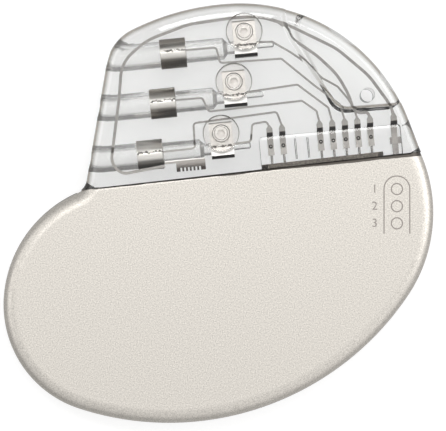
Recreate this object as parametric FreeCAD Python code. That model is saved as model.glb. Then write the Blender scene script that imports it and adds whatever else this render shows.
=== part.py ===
import FreeCAD, Part
import math
import os
from FreeCAD import Vector

# An implantable heart pacemaker with three lead ports, in millimetres.
# It lies on its back: X runs along the lead bores, from the open mouths to
# the blind ends, Y runs from the metal can to the clear header, and Z is up,
# out of the front face. The origin is under the middle of the outline.

# Whole device
device_t = 6.0
edge_r = 1.9

# Plan outline of the can: four tangent arcs
left_lobe_x, left_lobe_y, left_lobe_r = -14.66, -10.91, 14.73
right_lobe_x, right_lobe_y, right_lobe_r = 9.59, -0.93, 19.8
keel_r = 38.7
shoulder_r = 16.65
shoulder_turn = 168.0

# Straight joint between can and header
seam_y = 5.05
seam_tilt = 0.9
seam_break = 0.25

# Plan outline of the header
left_wall_x = -16.8
left_wall_tilt = 15.2
left_foot_r = 2.0
right_foot_r = 15.0
right_wall_tilt = 15.4
right_wall_run = 3.8
dome_r = 24.0
crown_turn = 87.5
crown_r = 33.4
crown_corner_r = 6.3

# Titanium can
can_wall = 0.3
backing_w = 1.6
backing_t = 0.2
slip = 0.02

# Lead ports: name, X of the connector block, Y of the bore
ports = (
    ("atrial", 6.3, 21.75),
    ("left_ventricular", 4.3, 15.25),
    ("right_ventricular", 1.95, 8.55),
)
mouth_r = 1.74
ring_bore_r = 1.45
pin_bore_r = 0.825
ring_from_block = 9.7
step_from_block = 2.45
blind_from_block = 3.8
lead_in = 0.55

# Ring contacts
sleeve_r = 2.0
sleeve_bore_r = 1.5
sleeve_len = 3.45
groove_r = 1.86
groove_w = 0.7
spring_r = 0.25
spring_reach = 1.33

# Connector blocks and setscrews
block_w = 3.05
block_below = 1.4
block_above = 3.4
block_under = 1.7
block_over = 2.0
block_break = 0.4
screw_offset = 1.9
screw_r = 1.12
screw_len = 1.5
screw_tip = 0.3
screw_clear = 0.05
screw_travel = 0.9
screw_floor = 0.25
socket_across = 0.95
socket_deep = 0.8

# Silicone septa over the setscrews
septum_r = 2.46
septum_t = 0.8
dimple_r = 0.93
dimple_deep = 0.15

# Flat wires in the header
wire_w = 0.26
wire_t = 0.22
wire_lift = 0.08
wire_bend_r = 0.45
antenna_w = 0.38
antenna_t = 0.28
antenna_lift = 0.05
antenna_bend_r = 9.0
tip_lift = 0.35
ring_lift = 0.2
tab_lap = 0.1

# Plan routes of the flat wires, between their first ends and their terminals
wire_routes = {
    "atrial_tip_wire": ((9.9, 21.95), (12.3, 20.25), (13.9, 18.9), (16.1, 16.5), (18.0, 15.2),
                        (19.2, 13.5), (19.9, 12.2)),
    "atrial_ring_wire": ((2.4, 21.9), (2.7, 19.8), (10.9, 19.6), (14.85, 15.7), (18.1, 12.8)),
    "left_ventricular_tip_wire": ((12.7, 15.95), (16.5, 12.5)),
    "left_ventricular_ring_wire": ((-0.1, 15.4), (0.6, 13.5), (13.1, 13.75), (14.9, 12.2)),
    "right_ventricular_ring_wire": ((-1.7, 8.8), (-1.6, 12.15), (9.6, 12.6)),
    "right_ventricular_tip_wire": ((5.8, 9.0), (6.2, 11.3), (8.1, 11.45)),
}
antenna_loop = ((-5.9, 6.85), (-11.8, 6.3), (-13.0, 8.0), (-11.1, 16.5), (-10.3, 21.2), (-6.7, 23.75),
                (-1.0, 25.3), (5.0, 25.6), (8.7, 25.45), (12.6, 23.75), (18.4, 20.2), (22.3, 16.2),
                (24.6, 12.3))
antenna_feed = ((10.9, 24.5), (12.1, 23.5), (12.5, 22.2), (15.7, 19.5), (18.1, 16.8), (19.4, 13.9),
                (19.8, 11.9), (20.5, 11.4), (21.6, 11.4))

# Terminal row
terminal_x = 8.4
terminal_pitch = 1.68
terminal_count = 9
blank_terminals = (2, 3)
ground_x = 25.0
tab_w = 0.82
tab_top = 10.9
tab_taper = 0.45
tab_bend_top = 9.95
tab_bend_bottom = 9.35
tab_end = 6.9
rib_w = 0.22
rib_bottom, rib_top = 6.2, 8.9
rib_deep = 1.0

# Pocket for the terminals, filled after welding
pocket_left = 6.9
pocket_right = 25.75
pocket_top = 9.4
pocket_floor = 1.2

# Feedthrough in the top of the can
ferrule_left = 7.0
ferrule_right = 23.3
ferrule_w = 2.6
ferrule_lip = 0.35
ferrule_rise = 0.6
ferrule_drop = 1.2
ferrule_wall = 0.45
ceramic_rise = 0.4
pin_r = 0.15
pin_top = 8.35
filter_h = 1.1
filter_margin = 0.25
pin_tail = 0.6

# Antenna anchor and ground bracket
anchor_left, anchor_right = -4.4, -0.5
anchor_bottom, anchor_top = 5.9, 7.5
anchor_t = 0.3
anchor_band_left = -5.9
anchor_band_w = 0.4
anchor_notch = 0.25
ground_foot_w = 0.8
ground_head_w = 1.3
ground_head_y = 6.9
ground_head_h = 0.9
ground_t = 0.4

# Thin web with the suture hole
web_t = 4.7
web_top_x, web_top_y = 11.7, 29.5
web_bend_x, web_bend_y = 12.0, 22.8
web_corner_x, web_corner_y = 17.5, 11.95
web_bend_r = 7.0
web_corner_r = 1.5
web_reach = 32.0
suture_x, suture_y, suture_r = 21.9, 13.7, 0.93

# Inside of the can
liner_gap = 0.1
liner_t = 0.4
bar_y = -8.9
bar_t = 0.5
ledge_w = 1.2
ledge_t = 0.4
battery_gap = 0.15
battery_lid_t = 0.5
battery_edge_r = 0.8
battery_pin_x = -2.0
battery_pin_r = 0.4
battery_pin_h = 1.6
battery_seal_r = 0.9
board_gap = 0.1
board_t = 0.5
board_z = 2.0
board_top = 1.3
ribbon_t = 0.12
strap_w = 2.0
strap_under, strap_over = 0.5, 1.2
flex_len = 2.0
flex_pad_w = 0.4
frame_top_gap = 1.0

# Parts on the board: name, X and Y of the middle, length, width, height
chips = (
    ("processor_chip", -6.0, -3.2, 8.5, 7.0, 1.3),
    ("memory_chip", 3.6, -4.6, 5.2, 4.2, 1.1),
    ("telemetry_chip", 16.5, -3.4, 6.0, 6.0, 1.2),
    ("quartz_crystal", 22.6, -4.0, 1.6, 3.2, 0.9),
    ("motion_sensor", -16.2, -4.2, 3.0, 3.0, 1.1),
    ("magnet_sensor", -12.2, -5.8, 1.8, 1.6, 0.8),
)
small_columns, small_rows = 4, 3
small_x, small_y = 8.0, -7.2
small_step_x, small_step_y = 1.3, 2.3
small_w, small_l = 0.8, 1.6
large_columns = 3
large_x, large_y, large_step_x = -0.2, -0.95, 4.2
large_l, large_w, large_h = 3.4, 1.6, 1.7

mid = device_t / 2
wire_z = mid + ring_bore_r + wire_lift + wire_t / 2
antenna_z = mid + mouth_r + antenna_lift + antenna_t / 2
FAR = 100.0


def at(x, y, z=0.0):
    return Vector(x, y, z)


def polar(centre, radius, degrees):
    turn = math.radians(degrees)
    return at(centre.x + radius * math.cos(turn), centre.y + radius * math.sin(turn))


def angle_of(start, end):
    return math.degrees(math.atan2(end.y - start.y, end.x - start.x))


def line_meets_circle(point, degrees, centre, radius):
    """Far crossing of a circle by the line that leaves point at an angle."""
    way = polar(at(0, 0), 1.0, degrees)
    rel = point - centre
    along = rel.dot(way)
    root = math.sqrt(along * along - rel.dot(rel) + radius * radius)
    return point + way * (root - along)


def circles_meet(centre_a, radius_a, centre_b, radius_b):
    """Crossing of two circles that lies to the left of the way from a to b."""
    gap = centre_b - centre_a
    dist = gap.Length
    along = (dist * dist + radius_a * radius_a - radius_b * radius_b) / (2 * dist)
    side = math.sqrt(radius_a * radius_a - along * along)
    unit = gap * (1 / dist)
    return centre_a + unit * along + at(-unit.y, unit.x) * side


def device_arcs():
    """The arcs of the whole outline, counterclockwise; straight walls join them.

    Each is (centre, radius, first angle, last angle); arcs that turn
    clockwise are the hollow ones at the two feet of the header.
    """
    left = at(left_lobe_x, left_lobe_y)
    right = at(right_lobe_x, right_lobe_y)
    keel = circles_meet(left, keel_r - left_lobe_r, right, keel_r - right_lobe_r)
    shoulder = polar(left, left_lobe_r - shoulder_r, shoulder_turn)
    seam_end = line_meets_circle(at(0, seam_y), seam_tilt, right, right_lobe_r)
    lobe_end = angle_of(right, seam_end)

    foot = polar(right, right_lobe_r + right_foot_r, lobe_end)
    wall_start = polar(foot, -right_foot_r, right_wall_tilt)
    wall_end = polar(wall_start, right_wall_run, right_wall_tilt + 90)
    dome = polar(wall_end, -dome_r, right_wall_tilt)
    crown = polar(dome, dome_r - crown_r, crown_turn)

    out = 180 - left_wall_tilt
    up = 90 - left_wall_tilt
    wall = at(left_wall_x, seam_y)
    corner = line_meets_circle(polar(wall, -crown_corner_r, out), up, crown, crown_r - crown_corner_r)
    left_foot = line_meets_circle(polar(wall, left_foot_r, out), up, shoulder, shoulder_r + left_foot_r)
    foot_down = angle_of(left_foot, shoulder)

    return (
        (shoulder, shoulder_r, foot_down + 180, shoulder_turn),
        (left, left_lobe_r, shoulder_turn, angle_of(keel, left) % 360),
        (keel, keel_r, angle_of(keel, left) % 360, angle_of(keel, right) % 360),
        (right, right_lobe_r, angle_of(keel, right) % 360, lobe_end + 360),
        (foot, right_foot_r, lobe_end + 180, right_wall_tilt + 180),
        (dome, dome_r, right_wall_tilt, crown_turn),
        (crown, crown_r, crown_turn, angle_of(crown, corner)),
        (corner, crown_corner_r, angle_of(crown, corner), out),
        (left_foot, left_foot_r, out - 180, foot_down),
    )


def device_plate(inset, z_low, z_high):
    """A flat block of the device's outline, drawn in by inset."""
    edges = []
    last = None
    for centre, radius, first, end in device_arcs():
        r = radius - inset if end > first else radius + inset
        start = polar(centre, r, first)
        if last is not None and (start - last).Length > 1e-6:
            edges.append(Part.makeLine(last, start))
        last = polar(centre, r, end)
        edges.append(Part.Arc(start, polar(centre, r, (first + end) / 2), last).toShape())
    plate = Part.Face(Part.Wire(edges)).extrude(at(0, 0, z_high - z_low))
    plate.translate(at(0, 0, z_low))
    return plate


def rounded_plate(inset, radius):
    """The device's outline with its thickness drawn in by inset and its edges rounded."""
    low, high = inset, device_t - inset
    plate = device_plate(inset, low, high)
    rims = [e for e in plate.Edges if abs(e.Vertexes[0].Z - e.Vertexes[-1].Z) < 1e-6]
    return plate.makeFillet(radius, rims)


def seam_block(offset, upper):
    """All space above or below a line parallel to the seam, offset along its normal."""
    base = at(-FAR, offset if upper else offset - FAR, -FAR)
    return on_seam(Part.makeBox(2 * FAR, FAR, 2 * FAR, base))


def on_seam(shape):
    """Place a shape drawn with the seam as its X axis."""
    shape.rotate(at(0, 0), at(0, 0, 1), seam_tilt)
    shape.translate(at(0, seam_y))
    return shape


def seam_height(x):
    return seam_y + x * math.tan(math.radians(seam_tilt))


def box(x0, x1, y0, y1, z0, z1):
    return Part.makeBox(x1 - x0, y1 - y0, z1 - z0, at(x0, y0, z0))


def rod_x(x0, x1, y, z, radius):
    return Part.makeCylinder(radius, x1 - x0, at(x0, y, z), at(1, 0))


def rod_y(y0, y1, x, z, radius):
    return Part.makeCylinder(radius, y1 - y0, at(x, y0, z), at(0, 1))


def rod_z(z0, z1, x, y, radius):
    return Part.makeCylinder(radius, z1 - z0, at(x, y, z0))


def prism(points, way):
    return Part.Face(Part.makePolygon(points + [points[0]])).extrude(way)


def rounded_path(points, radius):
    """Straight runs joined by tangent arcs, as large as radius and the runs allow."""
    edges = []
    last = points[0]
    for before, corner, after in zip(points, points[1:], points[2:]):
        back = (before - corner).normalize()
        ahead = (after - corner).normalize()
        half = math.acos(max(-1.0, min(1.0, back.dot(ahead)))) / 2
        run = 0.45 * min((before - corner).Length, (after - corner).Length)
        reach = min(run, radius / math.tan(half))
        start = corner + back * reach
        end = corner + ahead * reach
        bow = (back + ahead).normalize()
        depth = reach / math.cos(half) - reach * math.tan(half)
        edges.append(Part.makeLine(last, start))
        edges.append(Part.Arc(start, corner + bow * depth, end).toShape())
        last = end
    edges.append(Part.makeLine(last, points[-1]))
    return Part.Wire(edges)


def strip(points, z, width, thick, radius):
    """A flat wire lying at height z along a list of plan points."""
    path = rounded_path([at(x, y, z) for x, y in points], radius)
    start = at(*points[0], z)
    way = (at(*points[1], z) - start).normalize()
    side = at(-way.y, way.x) * (width / 2)
    up = at(0, 0, thick / 2)
    corners = [start - side - up, start + side - up, start + side + up, start - side + up]
    profile = Part.makePolygon(corners + [corners[0]])
    return path.makePipeShell([profile], True, False)


def folded(points, thick):
    """Outline of a bent sheet from the centre line of its section, with mitred bends."""
    ways = [(b - a).normalize() for a, b in zip(points, points[1:])]
    upper, lower = [], []
    for index, point in enumerate(points):
        first = ways[max(index - 1, 0)]
        second = ways[min(index, len(ways) - 1)]
        bend = (first + second).normalize()
        normal = at(0, -bend.z, bend.y)
        half = thick / 2 / bend.dot(first)
        upper.append(point + normal * half)
        lower.append(point - normal * half)
    return upper + lower[::-1]


def tab(x, z, thick, neck):
    """The wide end of a flat wire: it tapers out, bends down and lies on its pin."""
    low_z = mid + pin_r + thick / 2
    run = [at(0, tab_top - tab_taper, z), at(0, tab_bend_top, z),
           at(0, tab_bend_bottom, low_z), at(0, tab_end, low_z)]
    sheet = prism(folded(run, thick), at(tab_w, 0))
    sheet.translate(at(x - tab_w / 2, 0))
    low = z - thick / 2
    taper = prism([at(x - tab_w / 2, tab_top - tab_taper, low), at(x - neck / 2, tab_top, low),
                   at(x + neck / 2, tab_top, low), at(x + tab_w / 2, tab_top - tab_taper, low)],
                  at(0, 0, thick))
    return sheet.fuse(taper)


def terminal(index):
    return terminal_x + index * terminal_pitch


def ring_x(port):
    return port[1] - ring_from_block


def sleeve_end(port):
    return ring_x(port) + sleeve_len / 2


def block_end(port):
    return port[1] + block_w / 2


def screw_y(port):
    return port[2] + screw_offset


def signal_wires():
    """Plan routes of the six flat wires, from contact or block to terminal."""
    atrial, left, right = ports
    starts = {
        "atrial_tip_wire": (7, block_end(atrial), atrial[2] + tip_lift),
        "atrial_ring_wire": (6, sleeve_end(atrial), atrial[2] + ring_lift),
        "left_ventricular_tip_wire": (5, block_end(left), left[2] + tip_lift),
        "left_ventricular_ring_wire": (4, sleeve_end(left), left[2] + ring_lift),
        "right_ventricular_ring_wire": (1, sleeve_end(right), right[2] + ring_lift),
        "right_ventricular_tip_wire": (0, block_end(right), right[2] + tip_lift),
    }
    wires = {}
    for name, (index, start_x, start_y) in starts.items():
        x = terminal(index)
        route = [(start_x, start_y)] + list(wire_routes[name]) + [(x, tab_top - tab_lap)]
        run = strip(route, wire_z, wire_w, wire_t, wire_bend_r)
        wires[name] = run.fuse(tab(x, wire_z, wire_t, wire_w)).removeSplitter()
    return wires


def antenna():
    """One stamped strip: a loop round the header with a feed leg and a ground leg."""
    whole = None
    for x, route in ((ground_x, antenna_loop), (terminal(terminal_count - 1), antenna_feed)):
        points = list(route) + [(x, tab_top - tab_lap)]
        run = strip(points, antenna_z, antenna_w, antenna_t, antenna_bend_r)
        leg = run.fuse(tab(x, antenna_z, antenna_t, antenna_w))
        whole = leg if whole is None else whole.fuse(leg)
    return whole.removeSplitter()


def antenna_anchor():
    """A small comb-edged clip that holds the free end of the antenna."""
    low = antenna_z - antenna_t / 2 - anchor_t
    plate = box(anchor_left, anchor_right, anchor_bottom, anchor_top, low, low + anchor_t)
    band_y = anchor_top - anchor_band_w
    band = box(anchor_band_left, anchor_left, band_y, anchor_top, low, low + anchor_t)
    step = 2 * anchor_notch
    count = int((anchor_right - anchor_left) / step)
    gaps = [box(anchor_left + i * step, anchor_left + i * step + anchor_notch,
                anchor_bottom, anchor_bottom + step, low, low + anchor_t)
            for i in range(1, count)]
    return plate.fuse(band).cut(gaps)


def ground_bracket():
    """A stamped foot that joins the antenna's ground leg to the top of the can."""
    high = mid + pin_r
    low = high - ground_t
    foot_y = seam_height(ground_x)
    left = ground_x - ground_head_w / 2
    head = box(left, left + ground_head_w, ground_head_y,
               ground_head_y + ground_head_h, low, high)
    leg = box(ground_x - ground_foot_w / 2, ground_x + ground_foot_w / 2,
              foot_y - 0.5, ground_head_y, low, high)
    return head.fuse(leg).cut(seam_block(0, False)).removeSplitter()


def obround(x0, x1, y0, y1, width):
    """A flat-sided block along X with round ends, width wide across Z, on the seam."""
    r = width / 2
    shape = box(x0 + r, x1 - r, y0, y1, mid - r, mid + r)
    return shape.fuse([rod_y(y0, y1, x0 + r, mid, r), rod_y(y0, y1, x1 - r, mid, r)]).removeSplitter()


def feedthrough():
    """Ferrule, ceramic, pins and filter, drawn along the seam line."""
    neck = (ferrule_left + ferrule_lip, ferrule_right - ferrule_lip, ferrule_w - 2 * ferrule_lip)
    lip = obround(ferrule_left, ferrule_right, 0, ferrule_rise, ferrule_w)
    barrel = obround(neck[0], neck[1], -ferrule_drop, 0, neck[2])
    window = (neck[0] + ferrule_wall, neck[1] - ferrule_wall, neck[2] - 2 * ferrule_wall)
    hole = obround(window[0], window[1], -ferrule_drop, ferrule_rise, window[2])
    ceramic = obround(window[0], window[1], -ferrule_drop, ceramic_rise, window[2])
    grow = filter_margin
    noise = obround(window[0] - grow, window[1] + grow, -ferrule_drop - filter_h, -ferrule_drop,
                    window[2] + 2 * grow)
    ferrule = on_seam(lip.fuse(barrel).cut(hole).removeSplitter())
    return ferrule, on_seam(ceramic), on_seam(noise)


def pin_bottom():
    return seam_y - ferrule_drop - filter_h - pin_tail


def feedthrough_pins():
    return [rod_y(pin_bottom(), pin_top, terminal(i), mid, pin_r)
            for i in range(terminal_count) if i not in blank_terminals]


def ferrule_slot():
    neck = ferrule_w - 2 * ferrule_lip
    left, right = ferrule_left + ferrule_lip, ferrule_right - ferrule_lip
    return on_seam(obround(left, right, -ferrule_drop, 1.0, neck))


def can_shells():
    """Two drawn halves, welded round the middle, with a slot for the feedthrough."""
    outer = rounded_plate(0, edge_r).common(seam_block(0, False))
    top = [e for e in outer.Edges if lies_on_seam(e)]
    outer = outer.makeChamfer(seam_break, top)
    hollow = rounded_plate(can_wall, edge_r - can_wall).common(seam_block(-can_wall, False))
    can = outer.cut([hollow, ferrule_slot()])
    front = can.common(box(-FAR, FAR, -FAR, FAR, mid, FAR))
    back = can.common(box(-FAR, FAR, -FAR, FAR, -FAR, mid))
    return front, back


def lies_on_seam(edge):
    return all(abs(v.Y - seam_height(v.X)) < 1e-5 for v in edge.Vertexes)


def weld_backing():
    """A band behind the weld between the two halves of the can."""
    half = backing_w / 2
    inset = can_wall + slip
    band = device_plate(inset, mid - half, mid + half)
    band = band.cut(device_plate(inset + backing_t, mid - half, mid + half))
    return band.common(seam_block(-can_wall - backing_t, False))


def bore_steps(port):
    """The stepped bore that takes a lead: mouth, ring seat, seal bore, guide cone, pin bore."""
    name, x, y = port
    ring = ring_x(port)
    half = sleeve_len / 2
    step = x - step_from_block
    return [
        rod_x(-FAR, ring - half, y, mid, mouth_r),
        rod_x(ring - half, ring + half, y, mid, sleeve_r),
        rod_x(ring + half, step - lead_in, y, mid, ring_bore_r),
        Part.makeCone(ring_bore_r, pin_bore_r, lead_in, at(step - lead_in, y, mid), at(1, 0)),
        rod_x(step, x + blind_from_block, y, mid, pin_bore_r),
    ]


def ring_contact(port):
    name, x, y = port
    ring = ring_x(port)
    half = sleeve_len / 2
    sleeve = rod_x(ring - half, ring + half, y, mid, sleeve_r)
    groove = groove_w / 2
    return sleeve.cut([rod_x(ring - half, ring + half, y, mid, sleeve_bore_r),
                       rod_x(ring - groove, ring + groove, y, mid, groove_r)])


def contact_spring(port):
    """The garter spring in the groove of the ring contact, as a six-sided ring."""
    centre = at(ring_x(port), port[2], mid)
    corners = []
    for i in range(6):
        corner = polar(at(0, spring_reach + spring_r * math.cos(math.pi / 6)), spring_r, 60 * i)
        corners.append(centre + corner)
    section = Part.Face(Part.makePolygon(corners + [corners[0]]))
    return section.revolve(centre, at(1, 0), 360)


def block_body(port):
    name, x, y = port
    half = block_w / 2
    body = box(x - half, x + half, y - block_below, y + block_above, mid - block_under, mid + block_over)
    rims = [e for e in body.Edges if e.Length < block_w + 1e-6 and lies_along_x(e)]
    return body.makeChamfer(block_break, rims)


def lies_along_x(edge):
    first, last = edge.Vertexes[0].Point, edge.Vertexes[-1].Point
    return abs(first.y - last.y) < 1e-6 and abs(first.z - last.z) < 1e-6


def screw_top():
    return mid + block_over


def screw_hole(port):
    low = screw_top() - screw_len - screw_travel - screw_floor
    return rod_z(low, screw_top(), port[1], screw_y(port), screw_r + screw_clear)


def connector_block(port):
    name, x, y = port
    half = block_w / 2
    pin = rod_x(x - half, x + half, y, mid, pin_bore_r)
    return block_body(port).cut([pin, screw_hole(port)])


def setscrew(port):
    """Backed out, with its flank clear of the pin; driven in, it wedges beside it."""
    x, y = port[1], screw_y(port)
    high = screw_top()
    low = high - screw_len
    body = rod_z(low + screw_tip, high, x, y, screw_r)
    tip = Part.makeCone(screw_r - screw_tip, screw_r, screw_tip, at(x, y, low))
    across = socket_across / math.sqrt(3)
    corners = [polar(at(x, y), across, 60 * i) + at(0, 0, high - socket_deep) for i in range(6)]
    return body.fuse(tip).cut(prism(corners, at(0, 0, socket_deep))).removeSplitter()


def septum(port, header):
    x, y = port[1], screw_y(port)
    plug = rod_z(device_t - septum_t, device_t, x, y, septum_r)
    dimple = rod_z(device_t - dimple_deep, device_t, x, y, dimple_r)
    return plug.common(header).cut(dimple)


def port_tools(port):
    """All that the header leaves open or is cast round at one lead port."""
    x, y = port[1], screw_y(port)
    low = device_t - septum_t
    access = rod_z(screw_top(), low, x, y, screw_r + screw_clear)
    well = rod_z(low, device_t, x, y, septum_r)
    return bore_steps(port) + [block_body(port), access, well]


def web_recesses():
    """The two shallow pockets that leave the thin web, open to the outer edge."""
    points = [at(web_top_x, web_top_y), at(web_bend_x, web_bend_y), at(web_corner_x, web_corner_y),
              at(web_reach, web_corner_y)]
    first = rounded_path(points[:3], web_bend_r)
    second = rounded_path([first.Edges[-1].Vertexes[0].Point] + points[2:], web_corner_r)
    edges = first.Edges[:-1] + second.Edges
    far = at(web_reach, web_top_y)
    edges += [Part.makeLine(points[3], far), Part.makeLine(far, points[0])]
    depth = (device_t - web_t) / 2
    face = Part.Face(Part.Wire(edges))
    low = face.extrude(at(0, 0, depth))
    high = face.extrude(at(0, 0, depth))
    high.translate(at(0, 0, device_t - depth))
    return [low, high]


def terminal_pocket():
    """The pocket round the terminals, open at the front, down to the top of the can."""
    block = box(pocket_left, pocket_right, seam_y - 1.0, pocket_top, pocket_floor, device_t)
    return block.cut(seam_block(0, False))


def pocket_ribs():
    """Low ribs of the header that mark the two places without a terminal."""
    return [box(terminal(i) - rib_w / 2, terminal(i) + rib_w / 2, rib_bottom, rib_top,
                pocket_floor, pocket_floor + rib_deep) for i in blank_terminals]


def battery():
    """The cell fills the lower part of the can, under the plastic frame's crossbar."""
    inset = can_wall + slip + backing_t + battery_gap
    top = bar_y - battery_gap
    low, high = can_wall + battery_gap, device_t - can_wall - battery_gap
    body = device_plate(inset, low, high)
    rims = [e for e in body.Edges if abs(e.Vertexes[0].Z - e.Vertexes[-1].Z) < 1e-6]
    body = body.makeFillet(battery_edge_r, rims)
    case = body.common(box(-FAR, FAR, -FAR, top - battery_lid_t, -FAR, FAR))
    lid = body.common(box(-FAR, FAR, top - battery_lid_t, top, -FAR, FAR))
    x = battery_pin_x
    seal = rod_y(top - battery_lid_t, top, x, mid, battery_seal_r)
    pin = rod_y(top - battery_lid_t, top + battery_pin_h, x, mid, battery_pin_r)
    return case, lid.cut(seal), seal.cut(pin), pin


def circuit_frame():
    """Moulded plastic frame: a wall inside the can, a ledge for the board and a crossbar."""
    inset = can_wall + slip + backing_t + liner_gap
    low, high = can_wall + liner_gap, device_t - can_wall - liner_gap
    tight = edge_r
    wall = device_plate(inset, low + tight / 2, high - tight / 2)
    wall = wall.cut(device_plate(inset + liner_t, low, high))
    ledge = device_plate(inset + liner_t, board_z - ledge_t, board_z)
    ledge = ledge.cut(device_plate(inset + liner_t + ledge_w, board_z - ledge_t, board_z))
    top = seam_block(-ferrule_drop - filter_h - frame_top_gap, False)
    above = box(-FAR, FAR, bar_y, FAR, -FAR, FAR)
    bar = device_plate(inset + liner_t, low + tight / 2, high - tight / 2)
    bar = bar.common(box(-FAR, FAR, bar_y, bar_y + bar_t, -FAR, FAR))
    hole = rod_y(bar_y, bar_y + bar_t, battery_pin_x, mid, battery_seal_r)
    frame = wall.fuse(ledge).common(above).common(top).fuse(bar)
    return frame.cut(hole).removeSplitter()


def circuit_board():
    inset = can_wall + slip + backing_t + liner_gap + liner_t + board_gap
    plate = device_plate(inset, board_z, board_z + board_t)
    high = on_seam(box(-FAR, FAR, -FAR, -ferrule_drop - filter_h - board_top, -FAR, FAR))
    return plate.common(box(-FAR, FAR, bar_y + bar_t + board_gap, FAR, -FAR, FAR)).common(high)


def board_parts():
    """Chips and parts soldered on the board."""
    z = board_z + board_t
    return {name: box(x - l / 2, x + l / 2, y - w / 2, y + w / 2, z, z + h)
            for name, x, y, l, w, h in chips}


def board_rows():
    """Rows of like parts: small chip capacitors, and the larger output capacitors."""
    z = board_z + board_t
    small = []
    for column in range(small_columns):
        for row in range(small_rows):
            x = small_x + column * small_step_x
            y = small_y + row * small_step_y
            small.append(box(x, x + small_w, y, y + small_l, z, z + small_w))
    large = []
    for column in range(large_columns):
        x = large_x + column * large_step_x
        large.append(box(x, x + large_l, large_y, large_y + large_w, z, z + large_h))
    return small, large


def feedthrough_flex():
    """A flexible strip that carries the feedthrough pins down to the board."""
    left = terminal(0) - terminal_pitch / 2
    right = terminal(terminal_count - 1) + terminal_pitch / 2
    top = pin_bottom() + pin_tail
    bottom = top - flex_len
    low = board_z + board_t
    z = mid - pin_r - ribbon_t
    sheet = box(left, right, bottom, top, z, z + ribbon_t)
    pad = box(left, right, bottom, bottom + flex_pad_w, low, z)
    return sheet.fuse(pad)


def battery_strap():
    """A welded metal strap from the battery's terminal down to the board."""
    x = battery_pin_x + battery_pin_r
    top = bar_y - battery_gap + battery_pin_h
    z = board_z + board_t
    return box(x, x + strap_w, top - strap_under, top + strap_over, z, z + ribbon_t)


def save(name, shapes):
    solid = shapes if not isinstance(shapes, list) else Part.makeCompound(shapes)
    if solid.ShapeType == "Compound" and len(solid.Solids) == 1:
        solid = solid.Solids[0]
    if not solid.isValid() or not solid.Solids:
        raise ValueError(name + " isn't a sound solid")
    solid.exportStep(os.path.join("parts", name + ".step"))
    print(name, len(solid.Solids), round(solid.Volume, 3))


def build():
    os.makedirs("parts", exist_ok=True)
    header = rounded_plate(0, edge_r).common(seam_block(0, True))
    wires = signal_wires()
    loop = antenna()
    anchor = antenna_anchor()
    ground = ground_bracket()
    ferrule, ceramic, noise = feedthrough()
    pins = feedthrough_pins()
    pocket = terminal_pocket()
    ribs = pocket_ribs()

    tools = list(wires.values()) + [loop, anchor, pocket] + web_recesses()
    tools.append(rod_z(-1, device_t + 1, suture_x, suture_y, suture_r))
    for port in ports:
        tools += port_tools(port)
    save("header_body", header.cut(tools).fuse(ribs))
    fill = pocket.cut(list(wires.values()) + [loop, ground, ferrule, ceramic] + pins + ribs)
    save("header_backfill", fill)

    for port in ports:
        name = port[0]
        save(name + "_septum", septum(port, header))
        save(name + "_setscrew", setscrew(port))
        save(name + "_connector_block", connector_block(port))
        save(name + "_ring_contact", ring_contact(port))
        save(name + "_contact_spring", contact_spring(port))
    for name, wire in wires.items():
        save(name, wire)
    save("antenna", loop)
    save("antenna_anchor", anchor)
    save("ground_bracket", ground)

    front, back = can_shells()
    save("can_front_shell", front)
    save("can_back_shell", back)
    save("weld_backing_band", weld_backing().cut(ferrule_slot()))
    save("feedthrough_ferrule", ferrule)
    save("feedthrough_ceramic", ceramic.cut(pins))
    save("feedthrough_filter", noise.cut(pins))
    save("feedthrough_pins", pins)
    save("feedthrough_flex", feedthrough_flex())

    case, lid, seal, pin = battery()
    save("battery_case", case)
    save("battery_lid", lid)
    save("battery_seal", seal)
    save("battery_terminal", pin)
    save("battery_strap", battery_strap())
    save("circuit_frame", circuit_frame())
    save("circuit_board", circuit_board())
    for name, solid in board_parts().items():
        save(name, solid)
    small, large = board_rows()
    save("chip_capacitors", small)
    save("output_capacitors", large)


build()
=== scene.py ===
import math

import bmesh
import bpy
from mathutils import Matrix, Vector


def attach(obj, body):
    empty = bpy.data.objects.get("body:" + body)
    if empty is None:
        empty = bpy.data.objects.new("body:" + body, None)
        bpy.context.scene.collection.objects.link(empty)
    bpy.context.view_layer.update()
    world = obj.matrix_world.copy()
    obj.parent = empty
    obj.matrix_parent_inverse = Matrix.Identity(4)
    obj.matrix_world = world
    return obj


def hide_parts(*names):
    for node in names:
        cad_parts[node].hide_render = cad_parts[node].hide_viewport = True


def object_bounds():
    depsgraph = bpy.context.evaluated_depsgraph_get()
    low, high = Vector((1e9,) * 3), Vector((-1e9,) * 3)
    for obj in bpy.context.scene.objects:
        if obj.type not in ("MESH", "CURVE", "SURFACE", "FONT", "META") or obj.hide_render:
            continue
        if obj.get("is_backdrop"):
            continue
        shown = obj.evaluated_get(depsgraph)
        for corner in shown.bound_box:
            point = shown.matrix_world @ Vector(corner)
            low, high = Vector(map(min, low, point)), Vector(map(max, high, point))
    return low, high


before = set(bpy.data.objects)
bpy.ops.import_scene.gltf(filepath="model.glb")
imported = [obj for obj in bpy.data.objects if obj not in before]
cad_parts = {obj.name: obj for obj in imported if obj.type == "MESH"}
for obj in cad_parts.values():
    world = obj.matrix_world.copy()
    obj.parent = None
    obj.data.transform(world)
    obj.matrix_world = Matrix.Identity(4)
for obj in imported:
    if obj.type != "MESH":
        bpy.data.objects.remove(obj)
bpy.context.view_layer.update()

# Can: two half shells, deep drawn from titanium sheet, bead blasted to a
# satin grey and laser welded edge to edge round the middle. Its lobed plan
# is a chain of tangent arcs that carries on into the clear header.
MM = 0.001
THICK = 6.0
MID = THICK / 2
EDGE = 1.9
SEAM_Y = 5.05
SEAM_TILT = 0.9
SEAM_ROUND = 0.4
CAN_WALL = 0.3
POINT_STEP = 0.35


def polar(centre, radius, degrees):
    turn = math.radians(degrees)
    return Vector((centre.x + radius * math.cos(turn), centre.y + radius * math.sin(turn)))


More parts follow.
